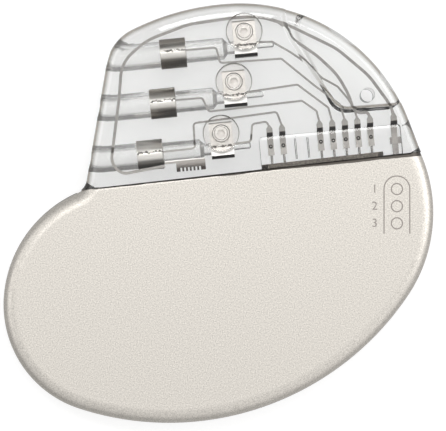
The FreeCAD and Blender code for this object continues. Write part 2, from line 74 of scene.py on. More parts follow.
def angle_of(start, end):
    return math.degrees(math.atan2(end.y - start.y, end.x - start.x))


def line_meets_circle(point, degrees, centre, radius):
    """Far crossing of a circle by the line that leaves point at an angle."""
    way = polar(Vector((0, 0)), 1.0, degrees)
    rel = point - centre
    along = rel.dot(way)
    root = math.sqrt(along * along - rel.dot(rel) + radius * radius)
    return point + way * (root - along)


def circles_meet(centre_a, radius_a, centre_b, radius_b):
    """Crossing of two circles that lies to the left of the way from a to b."""
    gap = centre_b - centre_a
    along = (gap.length_squared + radius_a ** 2 - radius_b ** 2) / (2 * gap.length)
    side = math.sqrt(radius_a ** 2 - along ** 2)
    unit = gap.normalized()
    return centre_a + unit * along + Vector((-unit.y, unit.x)) * side


def device_arcs():
    """The outline's arcs, counterclockwise: centre, radius, first and last angle."""
    left, left_r = Vector((-14.66, -10.91)), 14.73
    right, right_r = Vector((9.59, -0.93)), 19.8
    keel_r, shoulder_r, shoulder_turn = 38.7, 16.65, 168.0
    wall_x, wall_tilt, left_foot_r = -16.8, 15.2, 2.0
    right_foot_r, right_tilt, right_run = 15.0, 15.4, 3.8
    dome_r, crown_turn, crown_r, corner_r = 24.0, 87.5, 33.4, 6.3

    keel = circles_meet(left, keel_r - left_r, right, keel_r - right_r)
    shoulder = polar(left, left_r - shoulder_r, shoulder_turn)
    seam_end = line_meets_circle(Vector((0, SEAM_Y)), SEAM_TILT, right, right_r)
    lobe_end = angle_of(right, seam_end)
    foot = polar(right, right_r + right_foot_r, lobe_end)
    wall_start = polar(foot, -right_foot_r, right_tilt)
    wall_end = polar(wall_start, right_run, right_tilt + 90)
    dome = polar(wall_end, -dome_r, right_tilt)
    crown = polar(dome, dome_r - crown_r, crown_turn)
    out, up = 180 - wall_tilt, 90 - wall_tilt
    wall = Vector((wall_x, SEAM_Y))
    corner = line_meets_circle(polar(wall, -corner_r, out), up, crown, crown_r - corner_r)
    left_foot = line_meets_circle(polar(wall, left_foot_r, out), up, shoulder, shoulder_r + left_foot_r)
    foot_down = angle_of(left_foot, shoulder)
    return (
        (shoulder, shoulder_r, foot_down + 180, shoulder_turn),
        (left, left_r, shoulder_turn, angle_of(keel, left) % 360),
        (keel, keel_r, angle_of(keel, left) % 360, angle_of(keel, right) % 360),
        (right, right_r, angle_of(keel, right) % 360, lobe_end + 360),
        (foot, right_foot_r, lobe_end + 180, right_tilt + 180),
        (dome, dome_r, right_tilt, crown_turn),
        (crown, crown_r, crown_turn, angle_of(crown, corner)),
        (corner, corner_r, angle_of(crown, corner), out),
        (left_foot, left_foot_r, out - 180, foot_down),
    )


def outline(inset):
    """Points round the outline, drawn in by inset, the same number for every inset."""
    arcs = device_arcs()
    points = []
    for arc, after in zip(arcs, arcs[1:] + arcs[:1]):
        centre, radius, first, last = arc
        grown = -inset if last > first else inset
        count = math.ceil(math.radians(abs(last - first)) * radius / POINT_STEP)
        run = [polar(centre, radius + grown, first + (last - first) * i / count) for i in range(count)]
        end = polar(centre, radius + grown, last)
        grown = -inset if after[3] > after[2] else inset
        start = polar(after[0], after[1] + grown, after[2])
        gap = (start - end).length
        if gap > 0.01:
            count = math.ceil(gap / POINT_STEP)
            run += [end.lerp(start, i / count) for i in range(count)]
        points += run
    return points


def plate_rings(inset, radius, groove=0.0, skimmed=0.0, brow=0.0, steps=10):
    """Rings of points up the device's plate with rounded edges, and a groove round the middle.
    The last part of the upper rounding, brow wide, may be a flat slope."""
    low, high = skimmed, THICK - skimmed
    turns = [math.radians(90 * i / steps) for i in range(steps + 1)]
    levels = [(radius + 0.05, low)]
    levels += [(radius * (1 - math.sin(t)), low + radius * (1 - math.cos(t))) for t in turns]
    levels += [(0, MID - 0.12), (groove, MID), (0, MID + 0.12)]
    last = math.acos(brow / radius)
    turns = [last * i / steps for i in range(steps + 1)]
    levels += [(radius * (1 - math.cos(t)), high - radius * (1 - math.sin(t))) for t in turns]
    if brow:
        edge, level = levels[-1]
        levels += [(edge + share * brow, level + share * (high - level)) for share in (0.04, 0.96)]
    levels += [(radius, high), (radius + 0.05, high)]
    return [[(p.x, p.y, z) for p in outline(inset + drawn_in)] for drawn_in, z in levels]


def loft(rings):
    """A closed solid through rings of points, with a flat face at each end."""
    form = bmesh.new()
    rows = [[form.verts.new(point) for point in ring] for ring in rings]
    for lower, upper in zip(rows, rows[1:]):
        for a, b, c, d in zip(lower, lower[1:] + lower[:1], upper[1:] + upper[:1], upper):
            form.faces.new((a, b, c, d))
    form.faces.new(rows[0][::-1])
    form.faces.new(rows[-1])
    return form


def slice_off(form, point, normal):
    """Cuts a closed form by a plane, drops the side that the normal points to, and closes it."""
    parts = form.verts[:] + form.edges[:] + form.faces[:]
    cut = bmesh.ops.bisect_plane(form, geom=parts, plane_co=point, plane_no=normal, clear_outer=True)
    rim = [part for part in cut["geom_cut"] if isinstance(part, bmesh.types.BMEdge)]
    bmesh.ops.contextual_create(form, geom=rim)
    return form


def solid(form):
    """The mesh of a form, with its faces turned outwards."""
    bmesh.ops.recalc_face_normals(form, faces=form.faces[:])
    mesh = bpy.data.meshes.new("solid")
    form.to_mesh(mesh)
    form.free()
    return mesh


def modified(mesh, kind, settings):
    """The plain mesh that one modifier makes of a mesh."""
    holder = bpy.data.objects.new("holder", mesh)
    bpy.context.scene.collection.objects.link(holder)
    step = holder.modifiers.new("step", kind)
    for key, value in settings.items():
        if key.startswith("Socket_"):
            step[key] = value
        else:
            setattr(step, key, value)
    ready = bpy.context.evaluated_depsgraph_get()
    made = bpy.data.meshes.new_from_object(holder.evaluated_get(ready))
    bpy.data.objects.remove(holder)
    return made


def carve(body, tools, operation="DIFFERENCE"):
    """The body's mesh after each tool's mesh in turn has cut it, joined it or bounded it."""
    for tool in tools:
        cutter = bpy.data.objects.new("cutter", tool)
        bpy.context.scene.collection.objects.link(cutter)
        body = modified(body, "BOOLEAN", {"object": cutter, "operation": operation, "solver": "EXACT"})
        bpy.data.objects.remove(cutter)
    return body


def block(x, y, z):
    """A plain block between two limits along each axis, as a form."""
    return loft([[(x[0], y[0], h), (x[1], y[0], h), (x[1], y[1], h), (x[0], y[1], h)] for h in z])


def piece(name, mesh, finish, replaces=(), body="device", crease=35):
    """Names a finished mesh, brings it to metres, and gives it its finish and its body."""
    mesh.transform(Matrix.Scale(MM, 4))
    mesh.materials.clear()
    mesh.materials.append(finish)
    mesh.shade_smooth()
    mesh.set_sharp_from_angle(angle=math.radians(crease))
    mesh = modified(mesh, "WEIGHTED_NORMAL", {"weight": 100, "keep_sharp": True})
    made = bpy.data.objects.new(name, mesh)
    bpy.context.scene.collection.objects.link(made)
    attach(made, body)
    if replaces:
        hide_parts(*replaces)
    return made


def dress(finish, *names):
    """Gives CAD nodes their finish."""
    for name in names:
        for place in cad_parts[name].material_slots:
            place.material = finish


class Link:
    """An output of a node tree. Sums and products of links add their own Math nodes."""

    def __init__(self, tree, socket=None):
        self.tree = tree
        self.socket = socket

    def node(self, kind, settings=None, values=None, output=0):
        made = self.tree.nodes.new(kind)
        for key, value in (settings or {}).items():
            if key == "stops":
                stops = made.color_ramp.elements
                while len(stops) < len(value):
                    stops.new(1.0)
                for stop, (place, colour) in zip(stops, value):
                    stop.position = place
                    stop.color = colour
            else:
                setattr(made, key, value)
        for key, value in (values or {}).items():
            if isinstance(value, Link):
                self.tree.links.new(value.socket, made.inputs[key])
            else:
                made.inputs[key].default_value = value
        return Link(self.tree, made.outputs[output])

    def math(self, operation, first, second=0.0):
        return self.node("ShaderNodeMath", {"operation": operation}, {0: first, 1: second})

    def blend(self, share, colour_a, colour_b):
        return self.node("ShaderNodeMix", {"data_type": "RGBA"}, {0: share, 6: colour_a, 7: colour_b}, 2)

    def feed(self, socket):
        self.tree.links.new(self.socket, socket)

    def __add__(self, other):
        return self.math("ADD", self, other)

    def __sub__(self, other):
        return self.math("SUBTRACT", self, other)

    def __rsub__(self, other):
        return self.math("SUBTRACT", other, self)

    def __mul__(self, other):
        return self.math("MULTIPLY", self, other)

    def __truediv__(self, other):
        return self.math("DIVIDE", self, other)

    __radd__ = __add__
    __rmul__ = __mul__


def rgb(red, green, blue):
    return (red, green, blue, 1.0)


def new_finish(name, **constants):
    """A material with its plain numbers set, and a handle on its tree and shader."""
    finish = bpy.data.materials.new(name)
    finish.use_nodes = True
    shader = finish.node_tree.nodes["Principled BSDF"]
    for key, value in constants.items():
        shader.inputs[key.replace("_", " ")].default_value = value
    return finish, Link(finish.node_tree), shader.inputs


def along(tree, axis):
    """How far along one axis a point of the surface lies, in the piece's own coordinates."""
    place = tree.node("ShaderNodeTexCoord", output="Object")
    return tree.node("ShaderNodeSeparateXYZ", None, {0: place}, axis)


def facing(tree, axis):
    """How far a surface looks along one axis, from -1 to 1."""
    normal = tree.node("ShaderNodeNewGeometry", output="Normal")
    return tree.node("ShaderNodeSeparateXYZ", None, {0: normal}, axis)


def remap(tree, value, start, end, first=0.0, last=1.0):
    """A value's range, start to end, turned into another and held at its ends."""
    return tree.node("ShaderNodeMapRange", None, {0: value, 1: start, 2: end, 3: first, 4: last})


def grain_bump(tree, shader, strength, height, distance=0.00002):
    """Fine relief from a pattern."""
    relief = tree.node("ShaderNodeBump", None, {"Strength": strength, "Distance": distance, "Height": height})
    relief.feed(shader["Normal"])


def noise(tree, scale, detail=2.0, stretch=(1, 1, 1)):
    """Noise that is fixed to the piece: scale counts its features in a metre."""
    place = tree.node("ShaderNodeTexCoord", output="Object")
    place = tree.node("ShaderNodeMapping", None, {"Vector": place, "Scale": stretch})
    return tree.node("ShaderNodeTexNoise", None, {"Vector": place, "Scale": scale, "Detail": detail})


def grained_metal(name, dark, light, roughness, scale, bump=0.1, stretch=(1, 1, 1), metallic=1.0):
    """A metal whose colour and gloss vary with a fine grain or with drawn streaks."""
    finish, tree, shader = new_finish(name, Metallic=metallic)
    grain = noise(tree, scale, 3.0, stretch)
    tree.blend(remap(tree, grain, 0.3, 0.7), rgb(*dark), rgb(*light)).feed(shader["Base Color"])
    (roughness + 0.12 * (0.5 - grain)).feed(shader["Roughness"])
    grain_bump(tree, shader, bump, grain)
    return finish


blasted_titanium, tree, shader = new_finish("blasted titanium", Metallic=1.0)
grain = noise(tree, 6500, 3.0)
blasted = tree.blend(remap(tree, grain, 0.3, 0.7), rgb(0.48, 0.456, 0.42), rgb(0.80, 0.76, 0.70))
# Painted shade: a dark band with a wavy edge along the can's top edge, just under the header, where the seam lies
# in shade.
below_seam = SEAM_Y * MM + math.tan(math.radians(SEAM_TILT)) * along(tree, "X") - along(tree, "Y")
seam_shade_width = 0.28 * MM + 0.009 * along(tree, "X") + 0.4 * MM * (noise(tree, 250) - 0.5)
in_seam_shade = tree.math("LESS_THAN", below_seam, seam_shade_width)
tree.blend(in_seam_shade, blasted, rgb(0.10, 0.09, 0.08)).feed(shader["Base Color"])
(0.46 + 0.12 * (0.5 - grain)).feed(shader["Roughness"])
grain_bump(tree, shader, 0.7, grain)

upright = Vector((-math.sin(math.radians(SEAM_TILT)), math.cos(math.radians(SEAM_TILT)), 0))


def on_seam(drop):
    """A point of the seam line, moved down by drop."""
    return Vector((0, SEAM_Y, 0)) - upright * drop


def seam_rounding(z_edge, z_way):
    """The tool that rounds the long edge between the can's top and one of its faces."""
    arc = []
    for i in range(7):
        turn = math.radians(90 * i / 6)
        arc.append((-SEAM_ROUND * (1 - math.sin(turn)), -SEAM_ROUND * (1 - math.cos(turn))))
    profile = arc + [(0.6, -SEAM_ROUND), (0.6, 0.6), (-SEAM_ROUND, 0.6)]
    rings = []
    for along in (-45, 45):
        ring = []
        for out, rise in profile:
            point = on_seam(-out) + Vector((upright.y, -upright.x, 0)) * along
            ring.append((point.x, point.y, z_edge + z_way * rise))
        rings.append(ring)
    return solid(loft(rings))


def obround(x, height, width):
    """A flat-sided bar with round ends along the seam, from one height to another above it."""
    radius = width / 2
    profile = [polar(Vector((x[1] - radius, MID)), radius, -90 + 15 * i) for i in range(13)]
    profile += [polar(Vector((x[0] + radius, MID)), radius, 90 + 15 * i) for i in range(13)]
    rings = []
    for rise in height:
        ring = []
        for p in profile:
            point = on_seam(-rise) + Vector((upright.y, -upright.x, 0)) * p.x
            ring.append((point.x, point.y, p.y))
        rings.append(ring)
    return loft(rings)


skin = solid(slice_off(loft(plate_rings(0.14, EDGE, groove=0.1)), on_seam(0), upright))
hollow = loft(plate_rings(CAN_WALL, EDGE - CAN_WALL, skimmed=CAN_WALL))
hollow = solid(slice_off(hollow, on_seam(CAN_WALL), upright))
slot_tool = solid(obround((7.35, 22.95), (-1.2, 1.0), 1.9))
can = carve(skin, [hollow, slot_tool, seam_rounding(THICK, 1), seam_rounding(0, -1)])
halves = (("can_front", "can_front_shell", (MID, 9)), ("can_back", "can_back_shell", (-3, MID)))
for name, node, reach in halves:
    half = carve(can, [solid(block((-60, 60), (-60, 60), reach))], "INTERSECT")
    piece(name, half, blasted_titanium, [node])


# Weld between the shells: a row of overlapping laser spots, melted into the
# groove where the two edges meet, with a strip of titanium behind it.
# The weld's near-black colour is partly its own heat tint and partly painted shade, standing in for the dark line
# round the can's rim.
weld_and_rim_shade = grained_metal("weld titanium", (0.10, 0.095, 0.09), (0.20, 0.19, 0.18), 0.4, 9000)


def node_tree(name, inputs):
    """A geometry tree with a geometry input, named inputs, and their identifiers by name."""
    tree = bpy.data.node_groups.new(name, "GeometryNodeTree")
    tree.interface.new_socket("Geometry", in_out="INPUT", socket_type="NodeSocketGeometry")
    tree.interface.new_socket("Geometry", in_out="OUTPUT", socket_type="NodeSocketGeometry")
    known = {}
    for label, kind in inputs.items():
        made = tree.interface.new_socket(label, in_out="INPUT", socket_type="NodeSocket" + kind)
        known[label] = made.identifier
    entry = tree.nodes.new("NodeGroupInput")
    return Link(tree), {each.name: Link(tree, each) for each in entry.outputs if each.name}, known


def close_tree(tree, shape, finish):
    """Ends a geometry tree in real geometry that has its material."""
    shape = tree.node("GeometryNodeRealizeInstances", None, {"Geometry": shape})
    shape = tree.node("GeometryNodeSetMaterial", None, {"Geometry": shape, "Material": finish})
    tree.node_output = tree.tree.nodes.new("NodeGroupOutput")
    shape.feed(tree.node_output.inputs[0])


def grow(path, tree, known, values):
    """Runs a geometry tree on a path and returns the plain mesh that it makes."""
    inputs = {known[label]: value for label, value in values.items()}
    return modified(path, "NODES", {"node_group": tree.tree} | inputs)


def path_mesh(points, closed=False):
    """A bare chain of edges through points."""
    mesh = bpy.data.meshes.new("path")
    edges = [(i, i + 1) for i in range(len(points) - 1)]
    if closed:
        edges.append((len(points) - 1, 0))
    mesh.from_pydata(points, edges, [])
    return mesh


bead, bead_in, bead_known = node_tree("weld bead", {"Pitch": "Float", "Spot": "Vector", "Finish": "Material"})
line = bead.node("GeometryNodeMeshToCurve", None, {"Mesh": bead_in["Geometry"]})
line = bead.node("GeometryNodeResampleCurve", {"mode": "LENGTH"}, {"Curve": line, "Length": bead_in["Pitch"]})
heading = bead.node("GeometryNodeInputTangent")
turned = bead.node("FunctionNodeAlignRotationToVector", {"axis": "X"}, {"Vector": heading})
spot = bead.node("GeometryNodeMeshUVSphere", None, {"Segments": 8, "Rings": 6, "Radius": 1.0})
spots = bead.node("GeometryNodeInstanceOnPoints", None, {
    "Points": line, "Instance": spot, "Rotation": turned, "Scale": bead_in["Spot"]})
close_tree(bead, spots, bead_in["Finish"])
rim = [p for p in outline(0.18) if (p - on_seam(0.5).xy).dot(upright.xy) < 0]
start = max(range(len(rim)), key=lambda i: (rim[i] - rim[i - 1]).length)
rim = rim[start:] + rim[:start]
rim = [(p.x, p.y, MID) for p in rim]
bead_mesh = grow(path_mesh(rim), bead, bead_known, {
    "Pitch": 0.2, "Spot": (0.2, 0.17, 0.26), "Finish": weld_and_rim_shade})
piece("can_weld_bead", bead_mesh, weld_and_rim_shade, crease=60)
dress(weld_and_rim_shade, "weld_backing_band")


# Header: one casting of clear epoxy on top of the can. It is poured round
# the contacts, blocks, wires and antenna, so the bores are its only hollows.
PORTS = {
    "atrial": (6.3, 21.75),
    "left_ventricular": (4.3, 15.25),
    "right_ventricular": (1.95, 8.55),
}
RING_BACK = 9.7
SLEEVE_HALF = 1.725
BLOCK_HALF = 1.525
SCREW_OUT = 1.9
HOLE_R = 1.19
WELL_R = 2.46
WELL_Z = 5.2
POCKET_X = (6.9, 25.75)
POCKET_TOP = 9.4
POCKET_FLOOR = 1.2
TERMINAL_X = 8.4
PITCH = 1.68
EMPTY_PLACES = (2, 3)


def turned_form(profile, x, y, z, axis="X", sides=64):
    """A closed solid of revolution from (distance along its axis, radius) pairs."""
    rings = []
    for along, radius in profile:
        ring = []
        for i in range(sides):
            turn = 2 * math.pi * i / sides
            across, rise = radius * math.cos(turn), radius * math.sin(turn)
            if axis == "X":
                ring.append((x + along, y + across, z + rise))
            else:
                ring.append((x + across, y + rise, z + along))
        rings.append(ring)
    return loft(rings)


def revolved_ring(profile, x, y, z, axis="X", sides=72):
    """A closed ring of revolution from a closed profile of (distance along its axis, radius) pairs."""
    form = bmesh.new()
    rows = []
    for along, radius in profile:
        row = []
        for i in range(sides):
            turn = 2 * math.pi * i / sides
            across, rise = radius * math.cos(turn), radius * math.sin(turn)
            place = (x + along, y + across, z + rise) if axis == "X" else (x + across, y + rise, z + along)
            row.append(form.verts.new(place))
        rows.append(row)
    for lower, upper in zip(rows, rows[1:] + rows[:1]):
        for a, b, c, d in zip(lower, lower[1:] + lower[:1], upper[1:] + upper[:1], upper):
            form.faces.new((a, b, c, d))
    return solid(form)


def bore(x, y):
    """The hollow of one lead port, from its mouth to its blind end."""
    ring, step, block_end = x - RING_BACK, x - 2.45, BLOCK_HALF - 0.02
    seat = SLEEVE_HALF - 0.02
    profile = [
        (-40, 1.74), (ring - seat, 1.74), (ring - seat, 1.93), (ring + seat, 1.93), (ring + seat, 1.45),
        (step - 0.55, 1.45), (step, 0.825), (x - block_end, 0.825), (x - block_end, 0.87),
        (x + block_end, 0.87), (x + block_end, 0.45), (x + 3.65, 0.45), (x + 3.8, 0.3)]
    return solid(turned_form(profile, 0, y, MID))


def smooth_corner(before, corner, after, radius, count=8):
    """Points along the arc of a given radius that rounds a corner of a plan path."""
    back, ahead = (before - corner).normalized(), (after - corner).normalized()
    half = back.angle(ahead) / 2
    reach = radius / math.tan(half)
    centre = corner + (back + ahead).normalized() * (radius / math.sin(half))
    first, last = angle_of(centre, corner + back * reach), angle_of(centre, corner + ahead * reach)
    turn = (last - first + 180) % 360 - 180
    return [polar(centre, radius, first + turn * i / count) for i in range(count + 1)]


def drawn_in(points, insets):
    """An open plan path moved to its left, each point by its own inset."""
    moved = []
    for before, point, after, inset in zip([points[0]] + points, points, points[1:] + [points[-1]], insets):
        way = (after - before).normalized()
        moved.append(point + Vector((-way.y, way.x)) * inset)
    return moved


def web_recess(outer_z, floor_z, web, foot, side, top):
    """The tool for the shallow pocket of one face, whose wall rolls softly down to the thin web."""
    corners = [Vector(p) for p in ((top - 0.6, 30.0), (top, 22.8), (side, foot), (33.0, foot - 0.25))]
    path = [corners[0].lerp(corners[1], i / 8) for i in range(5)]
    path += smooth_corner(corners[0], corners[1], corners[2], 9.0, 14)
    low = smooth_corner(corners[1], corners[2], corners[3], 2.4, 12)
    path += [path[-1].lerp(low[0], i / 6) for i in range(1, 6)] + low
    path += [low[-1].lerp(corners[3], i / 7) for i in range(1, 8)]
    spans = [min(0.42, max(0.22, 0.22 + 0.04 * (p.y - 14.5))) for p in path]
    way = 1 if outer_z > floor_z else -1
    deep = abs(outer_z - floor_z)
    levels = [(-1, outer_z + way)]
    for i in range(9):
        share = i / 8
        eased = 0.25 * share * share * (3 - 2 * share) + 0.75 * share
        levels.append((2 * share - 1, outer_z - way * (deep - 0.001) * eased))
    levels.append((1, MID))
    rings = []
    for part, z in levels:
        edge = drawn_in(path, [span * part for span in spans])
        edge += [Vector((34, edge[-1].y)), Vector((34, 31)), Vector((edge[0].x, 31))]
        rings.append([(p.x, p.y, z) for p in edge])
    return carve(solid(loft(rings)), [web.copy()])


def rounded_box(x, y, levels, radius, count=6):
    """A block with rounded corners in plan: levels are pairs of inset and height."""
    rings = []
    for inset, z in levels:
        r = max(radius - inset, 0.05)
        ring = []
        for i, (cx, cy) in enumerate(((x[1], y[0]), (x[1], y[1]), (x[0], y[1]), (x[0], y[0]))):
            centre = Vector((cx - math.copysign(r + inset, cx - sum(x) / 2),
                             cy - math.copysign(r + inset, cy - sum(y) / 2)))
            ring += [polar(centre, r, 90 * (i - 1) + 90 * k / count) for k in range(count + 1)]
        rings.append([(p.x, p.y, z) for p in ring])
    return loft(rings)


def clear_plastic(name, tint, edge, roughness, waves, ior=1.5, dull=None):
    """A clear cast plastic: its faces are very slightly uneven, and its steep walls are painted darker where seen
    at a slant, a painted shade of the dim surroundings seen in them.
    A function of its tree may give the share that a mould's pins leave dull and paler; with it, the flat top face
    is also painted a little darker, a painted shade of the ground seen through it."""
    finish, tree, shader = new_finish(name, IOR=ior)
    shader["Transmission Weight"].default_value = 1.0
    cloud = noise(tree, 400, 2.0)
    painted_edge_shade = tree.node("ShaderNodeLayerWeight", None, {"Blend": 0.5}, "Facing")
    steep = remap(tree, tree.math("ABSOLUTE", facing(tree, "Z")), 0.93, 0.83)
    painted_edge_shade = remap(tree, painted_edge_shade, 0.17, 0.5) * remap(tree, painted_edge_shade, 0.84, 0.92, 1.0, 0.0) * steep
    if dull:
        share = dull(tree)
        painted_edge_shade = painted_edge_shade * (1 - 0.4 * share)
    clear = tree.blend(cloud, rgb(*tint), rgb(*(min(1.0, 1.01 * c) for c in tint)))
    if dull:
        painted_top_shade = tree.math("GREATER_THAN", along(tree, "Z"), 5.0 * MM) * (1 - steep)
        clear = tree.blend(painted_top_shade, clear, rgb(*(0.87 * c for c in tint)))
    tree.blend(painted_edge_shade, clear, rgb(*edge)).feed(shader["Base Color"])
    gloss = roughness + 0.01 * cloud
    if dull:
        gloss = gloss + 0.08 * share
        surface = finish.node_tree.nodes["Material Output"].inputs["Surface"]
        glassy = Link(finish.node_tree, surface.links[0].from_socket)
        plain = tree.node("ShaderNodeBsdfTransparent")
        tree.node("ShaderNodeMixShader", None, {0: 0.32 * share, 1: glassy, 2: plain}).feed(surface)
    gloss.feed(shader["Roughness"])
    grain_bump(tree, shader, waves, cloud, 0.00005)
    return finish


def rib(x, grown):
    """A low wedge-shaped rib of the pocket's floor, which marks a place without a terminal."""
    rings = []
    for half, z in ((0.11, POCKET_FLOOR - 0.2), (0.11, POCKET_FLOOR), (0.03, POCKET_FLOOR + 0.35)):
        half, z = half + grown, z + grown
        rings.append([(x - half, 6.2 - grown, z), (x + half, 6.2 - grown, z), (x + half, 8.9 + grown, z),
                      (x - half, 8.9 + grown, z)])
    return loft(rings)


def bore_dullness(tree):
    """The core pins of the mould leave the walls of the bores a little dull."""
    rise = along(tree, "Z") - MID * MM
    share = 0.0
    for x, y in PORTS.values():
        off = along(tree, "Y") - y * MM
        near = tree.math("LESS_THAN", off * off + rise * rise, (1.85 * MM) ** 2)
        share = near + share
    return share


# The dark edge colour given here is the painted shade on the header's steep walls.
clear_epoxy = clear_plastic(
    "clear epoxy", (0.972, 0.974, 0.966), (0.18, 0.155, 0.125), 0.0, 0.03, dull=bore_dullness)
tools = [bore(x, y) for x, y in PORTS.values()]
for x, y in PORTS.values():
    shaft = [(2.35, HOLE_R), (WELL_Z + 0.1, HOLE_R)]
    tools.append(solid(turned_form(shaft, x, y + SCREW_OUT, 0, "Z", 48)))
    tools.append(solid(turned_form([(WELL_Z, WELL_R), (8, WELL_R)], x, y + SCREW_OUT, 0, "Z", 72)))
web = solid(loft(plate_rings(0.01, EDGE, skimmed=0.65)))
tools += [web_recess(THICK, 5.35, web, 12.2, 17.9, 11.9), web_recess(0, 0.65, web, 11.95, 17.6, 13.4)]
tools.append(solid(turned_form([(-1, 0.93), (7, 0.93)], 21.9, 13.7, 0, "Z", 48)))
pocket_levels = [(0.3, POCKET_FLOOR), (0.09, POCKET_FLOOR + 0.09), (0, POCKET_FLOOR + 0.3), (0, 8)]
tools.append(solid(rounded_box(POCKET_X, (1, POCKET_TOP), pocket_levels, 0.4)))
casting = solid(slice_off(loft(plate_rings(0.01, EDGE, brow=0.52)), on_seam(0.05), -upright))
header_form = casting.copy()
header = carve(casting, tools)
ribs = []
for index in EMPTY_PLACES:
    ribs.append(solid(rib(TERMINAL_X + index * PITCH, 0)))
header = carve(header, ribs, "UNION")
piece("header_clear", header, clear_epoxy, ["header_body"])


# Septa: soft silicone plugs over the setscrews, slit so that a driver can
# pass and closed again behind it. Each sits in a shallow well of the header.
silicone = clear_plastic("silicone", (0.97, 0.955, 0.94), (0.5, 0.47, 0.44), 0.02, 0.05, 1.41)
for name, (x, y) in PORTS.items():
    gap = 0.03
    profile = [(WELL_Z + gap, WELL_R - 0.15), (WELL_Z + 0.15, WELL_R - gap), (THICK - 0.08, WELL_R - gap),
               (THICK, WELL_R - 0.1)]
    plug = solid(turned_form(profile, x, y + SCREW_OUT, 0, "Z", 72))
    dimple = [(THICK - 0.15, 0.6), (THICK - 0.1, 0.85), (THICK + 0.01, 0.93), (THICK + 1, 0.93)]
    lip = [(THICK - 0.07, 2.0), (THICK + 1, 2.08), (THICK + 1, 2.3), (THICK - 0.07, 2.18)]
    plug = carve(plug, [header_form.copy()], "INTERSECT")
    plug = carve(plug, [solid(turned_form(dimple, x, y + SCREW_OUT, 0, "Z", 48)),
                        revolved_ring(lip, x, y + SCREW_OUT, 0, "Z")])
    piece(name + "_seal", plug, silicone, [name + "_septum"])


# Connector blocks: machined stainless blocks with the pin bore through them
# and a tapped hole beside it, whose setscrew wedges the lead's pin.
bright_steel, tree, shader = new_finish("bright steel", Metallic=1.0)
grain = noise(tree, 1500, 3.0, (1, 8, 1))
steel = tree.blend(grain, rgb(0.88, 0.86, 0.83), rgb(0.97, 0.95, 0.92))
# Painted shade: faces turned towards -Y go near black, giving each block its dark lower line.
shaded_down_faces = remap(tree, facing(tree, "Y"), -0.35, -0.6)
tree.blend(shaded_down_faces, steel, rgb(0.045, 0.038, 0.032)).feed(shader["Base Color"])
(0.33 + 0.1 * (0.5 - grain)).feed(shader["Roughness"])
screw_titanium = grained_metal("screw titanium", (0.96, 0.94, 0.91), (1.0, 0.99, 0.97), 0.5, 2500, 0.05)

BLOCK_BREAK = 0.38
low, high = MID - 1.7, MID + 2.0
near, far = -1.4, 3.4
section = [(near, low + BLOCK_BREAK), (near + BLOCK_BREAK, low), (far - BLOCK_BREAK, low), (far, low + BLOCK_BREAK),
           (far, high - 0.15), (far - 0.15, high), (0.2, high), (0.2, high - 0.235),
           (near + BLOCK_BREAK, high), (near, high - BLOCK_BREAK)]
for name, (x, y) in PORTS.items():
    form = loft([[(x + end, y + along, z) for along, z in section] for end in (-BLOCK_HALF, BLOCK_HALF)])
    pin = solid(turned_form([(x - 2, 0.825), (x + 2, 0.825)], 0, y, MID))
    shaft = [(2.35, 1.17), (4.97, 1.17), (5.06, 1.22)]
    shaft = solid(turned_form(shaft, x, y + SCREW_OUT, 0, "Z", 48))
    piece(name + "_block", carve(solid(form), [pin, shaft]), bright_steel,
          [name + "_connector_block"])


# Setscrews: titanium, with a fine thread and a six-sided socket. They stand
# backed out at rest and travel down beside the pin when they are driven in.
def threaded(x, y, low, high, radius, pitch=0.25, depth=0.06):
    """A screw's body with a helical thread and chamfered ends."""
    rings = []
    rows = math.ceil((high - low) / (pitch / 4))
    for k in range(rows + 1):
        z = low + (high - low) * k / rows
        near = min(z - low, high - z)
        ring = []
        for i in range(32):
            wave = abs(((z - low) / pitch - i / 32) % 1 - 0.5) * 2
            r = min(radius - (depth * wave if high - z > 0.15 else 0.0), radius - 0.04 + 0.9 * near)
            turn = 2 * math.pi * i / 32
            ring.append((x + r * math.cos(turn), y + r * math.sin(turn), z))
        rings.append(ring)
    return solid(loft(rings))


for name, (x, y) in PORTS.items():
    centre = Vector((x, y + SCREW_OUT))
    across = 0.95 / math.sqrt(3)
    socket = []
    for z, grown in ((4.2, 0), (4.97, 0), (5.01, 0.03)):
        socket.append([(*polar(centre, across + grown, 60 * i), z) for i in range(6)])
    screw = carve(threaded(centre.x, centre.y, 3.5, 5.0, 1.12), [solid(loft(socket))])
    piece(name + "_screw", screw, screw_titanium, [name + "_setscrew"], name + "_screw")


# Ring contacts: turned sleeves with a groove inside, and in the groove a
# garter spring of fine wire that grips the lead's ring.
sleeve_alloy, tree, shader = new_finish("sleeve alloy", Metallic=1.0)
streaks = noise(tree, 1500, 3.0, (0.3, 9, 9))
# Painted highlight and shade: a bright band runs along the middle of each sleeve, with dark sides above and below
# it.
bright = 0.0
for (x, y), half in zip(PORTS.values(), (0.85, 0.85, 1.6)):
    off = tree.math("ABSOLUTE", along(tree, "Y") - (y + 0.15) * MM) + 0.5 * MM * (streaks - 0.5)
    bright = remap(tree, off, (half - 0.45) * MM, (half + 0.45) * MM, 1.0, 0.0) + bright
sides = tree.blend(streaks, rgb(0.10, 0.085, 0.07), rgb(0.48, 0.44, 0.39))
painted_highlight_band = tree.blend(streaks, rgb(0.84, 0.80, 0.75), rgb(1.0, 0.98, 0.94))
tree.blend(bright, sides, painted_highlight_band).feed(shader["Base Color"])
(0.3 + 0.12 * (0.5 - streaks)).feed(shader["Roughness"])
spring_wire = grained_metal("spring wire", (0.62, 0.61, 0.60), (0.82, 0.81, 0.80), 0.22, 6000)


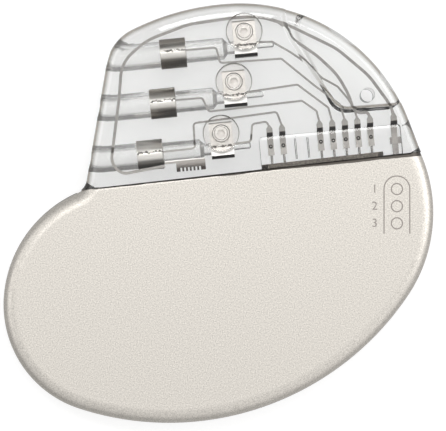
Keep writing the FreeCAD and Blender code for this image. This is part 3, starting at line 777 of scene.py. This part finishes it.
coil, coil_in, coil_known = node_tree("garter spring", {
    "Ring Radius": "Float", "Coil Radius": "Float", "Wire Radius": "Float", "Turns": "Float",
    "Points": "Int", "Finish": "Material"})
hoop = coil.node("GeometryNodeCurvePrimitiveCircle", {"mode": "RADIUS"}, {
    "Resolution": coil_in["Points"], "Radius": 1.0})
share = coil.node("GeometryNodeSplineParameter", output="Factor")
around = share * (2 * math.pi)
wound = share * (2 * math.pi) * coil_in["Turns"]
reach = coil_in["Ring Radius"] + coil_in["Coil Radius"] * coil.math("COSINE", wound)
offset = coil.node("ShaderNodeCombineXYZ", None, {
    "X": coil_in["Coil Radius"] * coil.math("SINE", wound),
    "Y": reach * coil.math("COSINE", around), "Z": reach * coil.math("SINE", around)})
hoop = coil.node("GeometryNodeSetPosition", None, {"Geometry": hoop, "Position": offset})
wire_end = coil.node("GeometryNodeCurvePrimitiveCircle", {"mode": "RADIUS"}, {
    "Resolution": 6, "Radius": coil_in["Wire Radius"]})
wire = coil.node("GeometryNodeCurveToMesh", None, {"Curve": hoop, "Profile Curve": wire_end})
close_tree(coil, wire, coil_in["Finish"])

spray, spray_in, spray_known = node_tree("weld spatter", {
    "Pitch": "Float", "Spread": "Vector", "Large": "Float", "Seed": "Int", "Finish": "Material"})
line = spray.node("GeometryNodeMeshToCurve", None, {"Mesh": spray_in["Geometry"]})
line = spray.node("GeometryNodeResampleCurve", {"mode": "LENGTH"}, {"Curve": line, "Length": spray_in["Pitch"]})
spread = spray.node("ShaderNodeVectorMath", {"operation": "SCALE"}, {0: spray_in["Spread"], "Scale": -1.0})
shift = spray.node("FunctionNodeRandomValue", {"data_type": "FLOAT_VECTOR"}, {
    0: spread, 1: spray_in["Spread"], "Seed": spray_in["Seed"]})
line = spray.node("GeometryNodeSetPosition", None, {"Geometry": line, "Offset": shift})
drop = spray.node("GeometryNodeMeshIcoSphere", None, {"Radius": 1.0, "Subdivisions": 2})
size = spray.node("FunctionNodeRandomValue", {"data_type": "FLOAT"}, {
    2: 0.3 * spray_in["Large"], 3: spray_in["Large"], "Seed": spray_in["Seed"] + 1}, 1)
drops = spray.node("GeometryNodeInstanceOnPoints", None, {"Points": line, "Instance": drop, "Scale": size})
close_tree(spray, drops, spray_in["Finish"])
weld_metal = grained_metal("weld metal", (0.10, 0.09, 0.08), (0.80, 0.77, 0.73), 0.2, 4500)


def weld_row(name, start, end, seed, spread=(0.06, 0.12, 0.03), large=0.17, pitch=0.16):
    """A row of small frozen drops that the welding of a wire leaves behind."""
    mesh = grow(path_mesh([start, end]), spray, spray_known, {
        "Pitch": pitch, "Spread": spread, "Large": large, "Seed": seed, "Finish": weld_metal})
    piece(name, mesh, weld_metal, crease=60)


for seed, (name, (x, y)) in enumerate(PORTS.items()):
    ring = x - RING_BACK
    for label, middle, half, across, z, draw in (
            ("_sleeve_weld", ring, 1.6, y + 0.28, MID + 1.96, seed),
            ("_block_weld", x, 1.45, y + 0.2, 4.98, seed + 10)):
        weld_row(name + label, (middle - half, across, z), (middle + half, across, z), draw)
    outer = [(-SLEEVE_HALF, 1.96), (-SLEEVE_HALF + 0.04, 2.0), (SLEEVE_HALF - 0.04, 2.0), (SLEEVE_HALF, 1.96)]
    inner = [(SLEEVE_HALF, 1.56), (SLEEVE_HALF - 0.06, 1.5), (0.35, 1.5), (0.35, 1.86), (-0.35, 1.86),
             (-0.35, 1.5), (-SLEEVE_HALF + 0.06, 1.5), (-SLEEVE_HALF, 1.56)]
    sleeve = revolved_ring(outer + inner, ring, y, MID)
    piece(name + "_sleeve", sleeve, sleeve_alloy, [name + "_ring_contact"])
    spring = grow(path_mesh([(0, 0, 0)]), coil, coil_known, {
        "Ring Radius": 1.59, "Coil Radius": 0.2, "Wire Radius": 0.05, "Turns": 34.0, "Points": 408,
        "Finish": spring_wire})
    spring.transform(Matrix.Translation((ring, y, MID)))
    piece(name + "_spring", spring, spring_wire, [name + "_contact_spring"], crease=80)


# Flat wires and antenna: etched from sheet alloy, welded to each contact,
# bent down into wide tabs at the terminals and spot welded to the pins.
wire_alloy, tree, shader = new_finish("wire alloy", Metallic=1.0)
along_y = along(tree, "Y")
on_tab = remap(tree, along_y, 11.2 * MM, 9.2 * MM)
grain = noise(tree, 4000, 3.0)
# Painted shade: the narrow wires are coloured darker than the tabs, and a near-black band lies across each bend
# down to the tabs.
shaded_narrow = tree.blend(grain, rgb(0.26, 0.25, 0.24), rgb(0.42, 0.40, 0.38))
wide = tree.blend(grain, rgb(0.36, 0.34, 0.32), rgb(0.52, 0.50, 0.47))
painted_bend_shade = tree.node("ShaderNodeMath", {"operation": "COMPARE"}, {0: along_y, 1: 9.6 * MM, 2: 0.36 * MM})
tree.blend(painted_bend_shade, tree.blend(on_tab, shaded_narrow, wide), rgb(0.09, 0.08, 0.07)).feed(shader["Base Color"])
(0.42 + 0.1 * (0.5 - grain)).feed(shader["Roughness"])
dress(wire_alloy, "antenna")
tab_alloy = grained_metal("tab alloy", (0.28, 0.26, 0.25), (0.42, 0.40, 0.38), 0.35, 4000)
dress(tab_alloy, "ground_bracket", "battery_strap")
anchor_alloy, tree, shader = new_finish("anchor alloy", Metallic=1.0)
along_y = along(tree, "Y")
streaks = noise(tree, 2500, 3.0, (0.5, 2, 1))
# Painted shade and highlight: the clip goes near black towards its lower edge and near white along its upper rim.
upper = remap(tree, along_y + 0.5 * MM * (streaks - 0.5), 6.3 * MM, 7.0 * MM)
shaded_lower_edge = tree.blend(upper, rgb(0.06, 0.048, 0.042), rgb(0.46, 0.43, 0.40))
highlit_rim = tree.math("GREATER_THAN", along_y, 7.33 * MM)
tree.blend(highlit_rim, shaded_lower_edge, rgb(1.0, 0.97, 0.94)).feed(shader["Base Color"])
(0.38 + 0.12 * (0.5 - streaks)).feed(shader["Roughness"])
dress(anchor_alloy, "antenna_anchor")
for name in PORTS:
    dress(wire_alloy, name + "_tip_wire", name + "_ring_wire")


# Spot welds: each tab is fused to its pin by one laser shot, which leaves a
# dark ring of tinted metal round a bright crater.
tinted_metal = grained_metal("tinted metal", (0.05, 0.045, 0.04), (0.12, 0.11, 0.10), 0.4, 6000)
for group, (first, last) in enumerate(((0, 1), (4, 8))):
    row = [(TERMINAL_X + index * PITCH, 8.1, MID + (0.43 if index == 8 else 0.38)) for index in (first, last)]
    for label, spot_size, finish in (
            ("ring", (0.29, 0.29, 0.09), tinted_metal), ("crater", (0.13, 0.13, 0.12), bright_steel)):
        spots = grow(path_mesh(row), bead, bead_known, {"Pitch": 0.99 * PITCH, "Spot": spot_size, "Finish": finish})
        piece("spot_weld_" + label + "_" + str(group + 1), spots, finish, crease=60)


# Feedthrough: a machined ferrule with a ceramic brazed into it, platinum
# pins through the ceramic, and a filter and a flexible strip underneath.
# The ferrule's near-black colour is partly painted shade, standing in for the dark band along the seam.
ferrule_in_seam_shade = grained_metal("ferrule metal", (0.09, 0.08, 0.07), (0.22, 0.20, 0.17), 0.3, 3000)
platinum = grained_metal("platinum", (0.30, 0.29, 0.28), (0.44, 0.43, 0.41), 0.25, 5000)


def mottled(name, dark, light, roughness, scale, bump=0.1):
    """A matt or glossy material without metal, with fine mottling and relief."""
    finish, tree, shader = new_finish(name)
    grain = noise(tree, scale, 4.0)
    tree.blend(grain, rgb(*dark), rgb(*light)).feed(shader["Base Color"])
    (roughness + 0.15 * (0.5 - grain)).feed(shader["Roughness"])
    grain_bump(tree, shader, bump, grain, 0.00003)
    return finish


alumina = mottled("alumina", (0.84, 0.83, 0.80), (0.94, 0.93, 0.90), 0.45, 5000)
dress(ferrule_in_seam_shade, "feedthrough_ferrule")
dress(alumina, "feedthrough_ceramic")
dress(platinum, "feedthrough_pins", "battery_terminal")
dress(mottled("filter ceramic", (0.46, 0.34, 0.24), (0.60, 0.47, 0.34), 0.6, 4000), "feedthrough_filter")
dress(mottled("amber film", (0.62, 0.34, 0.08), (0.74, 0.46, 0.16), 0.25, 2500), "feedthrough_flex")


# Back-fill: clear silicone, poured into the pocket round the terminals once
# they are welded. Its face is flat in the middle and falls a little towards the walls.
back_fill = clear_plastic("back fill", (1.0, 1.0, 1.0), (0.8, 0.8, 0.8), 0.0, 0.05, 1.41)
fill_low = on_seam(0).y + 0.12
fill_levels = [(0.28, POCKET_FLOOR + 0.03), (0.08, POCKET_FLOOR + 0.1), (0, POCKET_FLOOR + 0.3),
               (0, 5.88), (0.33, 5.9453), (0.35, 5.9493), (0.37, 5.9493)]
fill = solid(rounded_box((6.93, 25.72), (2, 9.37), fill_levels, 0.37))
gaps = []
for index in EMPTY_PLACES:
    gaps.append(solid(rib(TERMINAL_X + index * PITCH, 0.03)))
top_of_can = solid(block((-60, 60), (-60, 0), (-9, 20)))
top_of_can.transform(Matrix.Translation(on_seam(-0.02)) @ Matrix.Rotation(math.radians(SEAM_TILT), 4, "Z"))
piece("pocket_fill", carve(fill, [top_of_can] + gaps), back_fill, ["header_backfill"])


# Inside the can, under the plastic frame's crossbar: the battery, a drawn
# case with a welded lid and a glass seal round its terminal.
dress(grained_metal("battery metal", (0.58, 0.57, 0.55), (0.74, 0.73, 0.70), 0.35, 2500, 0.1, (8, 1, 1)),
      "battery_case", "battery_lid")
dress(mottled("seal glass", (0.10, 0.24, 0.22), (0.18, 0.36, 0.33), 0.1, 3000), "battery_seal")


# Circuit: a coated laminate with chips and capacitors, on a ledge of the
# moulded frame that lines the can.
dress(mottled("frame plastic", (0.80, 0.79, 0.74), (0.90, 0.89, 0.85), 0.55, 3000), "circuit_frame")
dress(mottled("board coating", (0.06, 0.26, 0.15), (0.12, 0.38, 0.24), 0.3, 1500), "circuit_board")
dress(mottled("chip package", (0.035, 0.035, 0.035), (0.08, 0.08, 0.08), 0.5, 9000),
      "processor_chip", "memory_chip", "telemetry_chip", "motion_sensor", "magnet_sensor")
dress(grained_metal("plated lid", (0.68, 0.66, 0.60), (0.82, 0.80, 0.74), 0.25, 4000), "quartz_crystal")
dress(mottled("capacitor ceramic", (0.52, 0.40, 0.27), (0.68, 0.55, 0.40), 0.5, 6000), "chip_capacitors")
dress(mottled("capacitor case", (0.70, 0.50, 0.10), (0.84, 0.64, 0.20), 0.4, 5000), "output_capacitors")


# Port diagram on the front face: marked by laser, three rings in an arch,
# with a plain number beside each. The marks are a thin dark film.
mark_film = mottled("mark film", (0.20, 0.18, 0.16), (0.30, 0.27, 0.25), 0.6, 8000)
MARK_TURN = -5.5
MARK_Z = (5.992, 6.004)


def on_face(x, y):
    """The place on the device of a point of the diagram, which is drawn upright in the photo."""
    turn = math.radians(MARK_TURN)
    centre = Vector((24.27, -1.44))
    return centre + Vector((x * math.cos(turn) - y * math.sin(turn), x * math.sin(turn) + y * math.cos(turn)))


def film_strip(points, width, closed=False):
    """A flat line of the diagram through plan points."""
    form = bmesh.new()
    count = len(points)
    rows = []
    for i, point in enumerate(points):
        before = points[i - 1] if closed or i else point
        after = points[(i + 1) % count] if closed or i < count - 1 else point
        way = (after - before).normalized()
        side = Vector((-way.y, way.x)) * (width / 2)
        left, right = on_face(*(point + side)), on_face(*(point - side))
        rows.append([form.verts.new((*p, z)) for p, z in (
            (left, MARK_Z[0]), (right, MARK_Z[0]), (right, MARK_Z[1]), (left, MARK_Z[1]))])
    following = rows[1:] + rows[:1] if closed else rows[1:]
    for first, second in zip(rows, following):
        for a, b, c, d in zip(first, first[1:] + first[:1], second[1:] + second[:1], second):
            form.faces.new((a, b, c, d))
    if not closed:
        form.faces.new(rows[0])
        form.faces.new(rows[-1][::-1])
    return form


def joined(forms):
    """One mesh from several forms."""
    whole = bmesh.new()
    for form in forms:
        part = solid(form)
        whole.from_mesh(part)
        bpy.data.meshes.remove(part)
    return solid(whole)


LINE_W = 0.16
LEVELS = (2.275, 0, -2.275)
arch = [Vector((-1.71, -3.65))]
arch += [polar(Vector((0, 2.3)), 1.71, 180 - 7.5 * i) for i in range(25)]
arch += [Vector((1.71, -3.65))]
forms = [film_strip(arch, LINE_W)]
for level in LEVELS:
    forms.append(film_strip([polar(Vector((0, level)), 0.738, 10 * i) for i in range(36)], LINE_W, True))
piece("port_diagram", joined(forms), mark_film)

for index, level in enumerate(LEVELS):
    words = bpy.data.curves.new("number", "FONT")
    words.body = str(index + 1)
    words.size = 1.6
    words.extrude = (MARK_Z[1] - MARK_Z[0]) / 2
    words.align_x = "CENTER"
    words.align_y = "CENTER"
    holder = bpy.data.objects.new("holder", words)
    bpy.context.scene.collection.objects.link(holder)
    ready = bpy.context.evaluated_depsgraph_get()
    number = bpy.data.meshes.new_from_object(holder.evaluated_get(ready))
    bpy.data.objects.remove(holder)
    place = on_face(-2.95, level)
    number.transform(Matrix.Translation((place.x, place.y, sum(MARK_Z) / 2))
                     @ Matrix.Rotation(math.radians(MARK_TURN), 4, "Z"))
    piece("port_number_" + str(index + 1), number, mark_film)


# Floor: a plain pale sheet that the device lies on. It shows white, also
# through the clear header, and keeps the device's shadow.
floor_form = bmesh.new()
bmesh.ops.create_circle(floor_form, cap_ends=True, segments=96, radius=0.047)
floor = bpy.data.objects.new("floor", solid(floor_form))
floor.location.z = -0.0001
bpy.context.scene.collection.objects.link(floor)
floor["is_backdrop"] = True
sheet = bpy.data.materials.new("sheet")
sheet.use_nodes = True
sheet.node_tree.nodes.clear()
tree = Link(sheet.node_tree)
rays = ("Is Camera Ray", "Is Glossy Ray", "Is Transmission Ray", "Glossy Depth")
direct, glossy, through, bounces = (tree.node("ShaderNodeLightPath", output=ray) for ray in rays)
seen = direct + 0.1 * glossy + 0.95 * through * tree.math("LESS_THAN", bounces, 1.0)
matt = tree.node("ShaderNodeBsdfDiffuse", None, {"Color": rgb(0.45, 0.45, 0.45)})
glow = tree.node("ShaderNodeEmission", None, {"Color": rgb(1, 1, 1), "Strength": 0.62 * seen})
both = tree.node("ShaderNodeAddShader", None, {0: matt, 1: glow})
both.feed(sheet.node_tree.nodes.new("ShaderNodeOutputMaterial").inputs["Surface"])
floor.data.materials.append(sheet)


# Light: a large soft studio, dark at the horizon and a little darker right
# overhead, with a long narrow lamp behind the device and a broad one at each
# side. What is seen straight, or through the clear header, is white.
world = bpy.data.worlds.new("studio")
bpy.context.scene.world = world
world.use_nodes = True
tree = Link(world.node_tree)
way = tree.node("ShaderNodeTexCoord", output="Generated")
aside, behind, height = (tree.node("ShaderNodeSeparateXYZ", None, {0: way}, axis) for axis in "XYZ")
grey = [(0.0, rgb(0.25, 0.25, 0.25)), (0.05, rgb(0.7, 0.7, 0.7)), (0.12, rgb(0.9, 0.9, 0.9)),
        (0.55, rgb(0.84, 0.84, 0.84)), (0.85, rgb(0.84, 0.84, 0.84)), (1.0, rgb(0.64, 0.64, 0.64))]
sky = tree.node("ShaderNodeValToRGB", {"stops": grey}, {"Fac": height})
front, back = (tree.math(side, behind, 0.0) for side in ("MINIMUM", "MAXIMUM"))
sky = sky * (1.3 + 0.35 * front - 0.4 * back + 0.3 * aside)
direct, through = (tree.node("ShaderNodeLightPath", output=ray) for ray in ("Is Camera Ray", "Is Transmission Ray"))
tree.blend(direct + 0.8 * through, sky, rgb(1, 1, 1)).feed(world.node_tree.nodes["Background"].inputs["Color"])


def soft_lamp(name, place, size, watts):
    """A rectangular lamp that faces the device."""
    data = bpy.data.lights.new(name, "AREA")
    data.shape = "RECTANGLE"
    data.size, data.size_y = size
    data.energy = watts
    lamp = bpy.data.objects.new(name, data)
    lamp.location = place
    lamp.rotation_mode = "QUATERNION"
    lamp.rotation_quaternion = (-Vector(place)).to_track_quat("-Z", "Y")
    bpy.context.scene.collection.objects.link(lamp)


soft_lamp("back_lamp", (0.0, 0.437, 0.95), (0.8, 0.12), 2.8)
soft_lamp("left_lamp", (-0.8, 0.25, 0.35), (0.9, 0.4), 1.1)
soft_lamp("right_lamp", (0.85, 0.2, 0.4), (0.9, 0.4), 2.6)


# Camera: straight above the front face, turned as the photo is.
view = bpy.data.cameras.new("camera")
view.lens = 180
view.sensor_width = 36
view.clip_start = 0.01
camera = bpy.data.objects.new("camera", view)
camera.location = (1.158 * MM, -0.459 * MM, 0.3022)
camera.rotation_euler = (0, 0, math.radians(-5.5))
bpy.context.scene.collection.objects.link(camera)
bpy.context.scene.camera = camera
bpy.context.scene.view_settings.view_transform = "Standard"

low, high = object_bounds()
